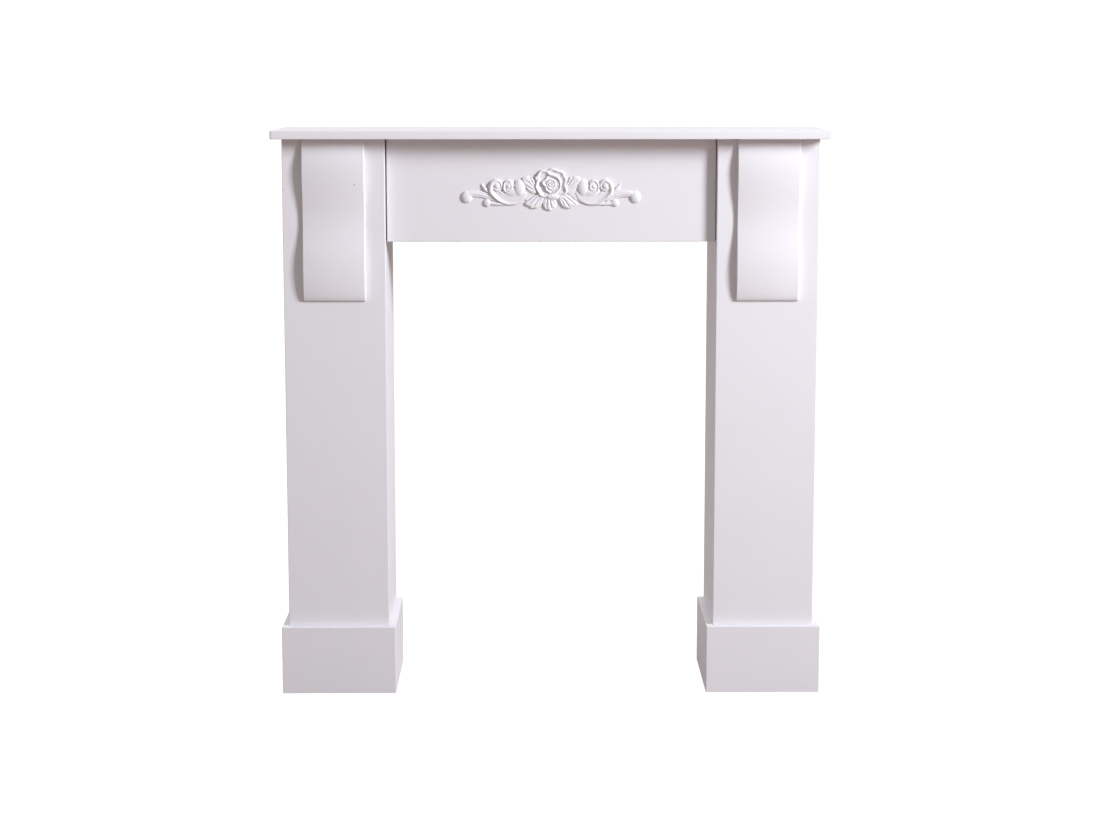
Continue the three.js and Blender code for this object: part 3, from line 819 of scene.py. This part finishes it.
def ornament_mesh(settings):
    """The relief as a closed mesh with a flat back, cut off where it meets the frieze."""
    relief = carved_ornament(settings.detail / MM)
    height = relief.height * (settings.proud / MM / relief.height.max())
    mesh = bpy.data.meshes.new("rose_ornament_carved")
    points, faces = relief_grid(relief, height)
    mesh.from_pydata(points, [], faces)
    bm = bmesh.new()
    bm.from_mesh(mesh)
    at_rim = [face for face in bm.faces if any(corner.co.y > 0 for corner in face.verts)]
    bmesh.ops.triangulate(bm, faces=at_rim)
    bmesh.ops.bisect_plane(
        bm, geom=[*bm.verts, *bm.edges, *bm.faces], dist=CUT_TOLERANCE,
        plane_co=(0, 0, 0), plane_no=(0, 1, 0), clear_outer=True,
    )
    for face in bm.faces:
        face.smooth = True
    rim = [edge for edge in bm.edges if edge.is_boundary]
    for edge in rim:
        edge.smooth = False
    bmesh.ops.triangle_fill(bm, edges=rim, use_beauty=True, normal=(0, 1, 0))
    open_edges = sum(not edge.is_manifold for edge in bm.edges)
    if open_edges:
        raise RuntimeError(f"the rose ornament has {open_edges} open edges")
    bmesh.ops.recalc_face_normals(bm, faces=bm.faces)
    top = max(vertex.co.z for vertex in bm.verts)
    middle_x = (ORNAMENT_LOW.x + ORNAMENT_HIGH.x) / 2
    bmesh.ops.translate(bm, verts=bm.verts, vec=(0, 0, -top))
    bmesh.ops.scale(bm, verts=bm.verts, vec=(MM, MM, MM))
    bmesh.ops.translate(bm, verts=bm.verts, vec=(middle_x, ORNAMENT_HIGH.y, ORNAMENT_HIGH.z))
    bm.to_mesh(mesh)
    bm.free()
    return mesh


def look(place, pitch, yaw):
    """The rotation of a camera that looks along +Y, turned down by pitch and to its right by yaw."""
    ahead = Vector((math.sin(yaw) * math.cos(pitch), math.cos(yaw) * math.cos(pitch), -math.sin(pitch)))
    return ahead.to_track_quat("-Z", "Y")


def soft_lamp(name, place, target, size, power, colour):
    """A square lamp that faces its target."""
    lamp = bpy.data.lights.new(name, "AREA")
    lamp.shape = "SQUARE"
    lamp.size = size
    lamp.energy = power
    lamp.color = colour
    holder = bpy.data.objects.new(name, lamp)
    holder.location = place
    holder.rotation_mode = "QUATERNION"
    holder.rotation_quaternion = (Vector(target) - Vector(place)).to_track_quat("-Z", "Y")
    bpy.context.scene.collection.objects.link(holder)
    return holder


class MANTELPIECE_OT_boards(bpy.types.Operator):
    """Paint the shelf, the frieze, the pillars and the bases"""

    bl_idname = "mantelpiece.boards"
    bl_label = "Boards"

    def execute(self, context):
        paint = context.scene.mantel_paint
        finish = satin_paint("satin_white_board", paint, bare=True, flaws=[NICK])
        film = paint_film(paint.film)
        for name in BOARDS:
            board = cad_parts[name]
            board.data.materials.clear()
            board.data.materials.append(finish)
            board.modifiers.new("paint_film", "NODES").node_group = film
            flat = board.modifiers.new("flat_faces", "WEIGHTED_NORMAL")
            flat.weight = 100
            flat.keep_sharp = True
        return {"FINISHED"}


class MANTELPIECE_OT_corbels(bpy.types.Operator):
    """Shape and paint the two corbels"""

    bl_idname = "mantelpiece.corbels"
    bl_label = "Corbels"

    def execute(self, context):
        finish = satin_paint("satin_white_corbel", context.scene.mantel_paint, flaws=[SPOT])
        for node in CORBELS:
            mesh = corbel_mesh(node, context.scene.mantel_corbels)
            piece = new_piece(node + "_shaped", mesh, finish)
            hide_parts(node)
        return {"FINISHED"}


class MANTELPIECE_OT_ornament(bpy.types.Operator):
    """Carve and paint the cast rose ornament"""

    bl_idname = "mantelpiece.ornament"
    bl_label = "Rose ornament"

    def execute(self, context):
        finish = satin_paint("satin_white_casting", context.scene.mantel_paint)
        mesh = ornament_mesh(context.scene.mantel_ornament)
        piece = new_piece("rose_ornament_carved", mesh, finish)
        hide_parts(ORNAMENT)
        return {"FINISHED"}


class MANTELPIECE_OT_studio(bpy.types.Operator):
    """Set up the camera, the floor, the lamp and the white surroundings"""

    bl_idname = "mantelpiece.studio"
    bl_label = "Studio"

    def execute(self, context):
        scene, studio = context.scene, context.scene.mantel_studio
        camera = bpy.data.cameras.new("camera")
        camera.lens = studio.camera_lens
        camera.shift_y = studio.camera_shift
        viewer = bpy.data.objects.new("camera", camera)
        viewer.location = studio.camera_place
        viewer.rotation_mode = "QUATERNION"
        viewer.rotation_quaternion = look(studio.camera_place, studio.camera_pitch, studio.camera_yaw)
        scene.collection.objects.link(viewer)
        scene.camera = viewer

        bm = bmesh.new()
        bmesh.ops.create_grid(bm, x_segments=1, y_segments=1, size=FLOOR_REACH)
        mesh = bpy.data.meshes.new("floor")
        bm.to_mesh(mesh)
        bm.free()
        floor = bpy.data.objects.new("floor", mesh)
        floor.location.z = -FLOOR_DROP
        scene.collection.objects.link(floor)
        finish = Finish("floor_white")
        direct = finish.node("ShaderNodeLightPath", output="Is Camera Ray")
        lit = finish.node("ShaderNodeBsdfDiffuse", values={"Color": rgba(studio.floor_colour)})
        seen = finish.node("ShaderNodeEmission", values={"Strength": direct * studio.floor_seen})
        both = finish.node("ShaderNodeAddShader", values={0: lit, 1: seen})
        finish.node("ShaderNodeOutputMaterial", values={"Surface": both})
        mesh.materials.append(finish.material)

        soft_lamp(
            "lamp", studio.lamp_place, studio.lamp_target, studio.lamp_size, studio.lamp_power,
            studio.lamp_colour,
        )
        world = bpy.data.worlds.new("white_room")
        world.use_nodes = True
        room = NodeTree(world.node_tree)
        white = (1.0, 1.0, 1.0, 1.0)
        direction = room.node("ShaderNodeTexCoord", output="Generated")
        rightward = room.node("ShaderNodeSeparateXYZ", values={0: direction}, output="X")
        behind = room.node("ShaderNodeSeparateXYZ", values={0: direction}, output="Y") * 0.5 + 0.5
        fall = 1 - rightward * studio.side_fall
        front, back, seen = (
            room.node("ShaderNodeBackground", values={"Color": white, "Strength": strength})
            for strength in (fall * studio.front_fill, fall * studio.back_fill, studio.backdrop)
        )
        fill = room.node("ShaderNodeMixShader", values={0: behind, 1: front, 2: back})
        direct = room.node("ShaderNodeLightPath", output="Is Camera Ray")
        both = room.node("ShaderNodeMixShader", values={0: direct, 1: fill, 2: seen})
        room.node("ShaderNodeOutputWorld", values={"Surface": both})
        scene.world = world
        scene.view_settings.view_transform = "Standard"
        return {"FINISHED"}


class MANTELPIECE_PT_sidebar(bpy.types.Panel):
    """The pieces of the mantelpiece, in the order in which they are made"""

    bl_idname = "MANTELPIECE_PT_sidebar"
    bl_label = "Mantelpiece"
    bl_space_type = "VIEW_3D"
    bl_region_type = "UI"
    bl_category = "Mantelpiece"

    def draw(self, context):
        for operator in OPERATORS:
            self.layout.operator(operator.bl_idname)


SETTINGS = {
    "mantel_paint": MantelPaint,
    "mantel_corbels": MantelCorbels,
    "mantel_ornament": MantelOrnament,
    "mantel_studio": MantelStudio,
}
OPERATORS = (
    MANTELPIECE_OT_studio,
    MANTELPIECE_OT_boards,
    MANTELPIECE_OT_corbels,
    MANTELPIECE_OT_ornament,
)


def register():
    for settings in SETTINGS.values():
        bpy.utils.register_class(settings)
    for name, settings in SETTINGS.items():
        setattr(bpy.types.Scene, name, bpy.props.PointerProperty(type=settings))
    for kind in (*OPERATORS, MANTELPIECE_PT_sidebar):
        bpy.utils.register_class(kind)


def unregister():
    for kind in reversed((*OPERATORS, MANTELPIECE_PT_sidebar)):
        bpy.utils.unregister_class(kind)
    for name in SETTINGS:
        delattr(bpy.types.Scene, name)
    for settings in reversed(SETTINGS.values()):
        bpy.utils.unregister_class(settings)


def main():
    register()
    bpy.ops.mantelpiece.studio()
    bpy.ops.mantelpiece.boards()
    bpy.ops.mantelpiece.corbels()
    bpy.ops.mantelpiece.ornament()


if __name__ == "__main__":
    main()
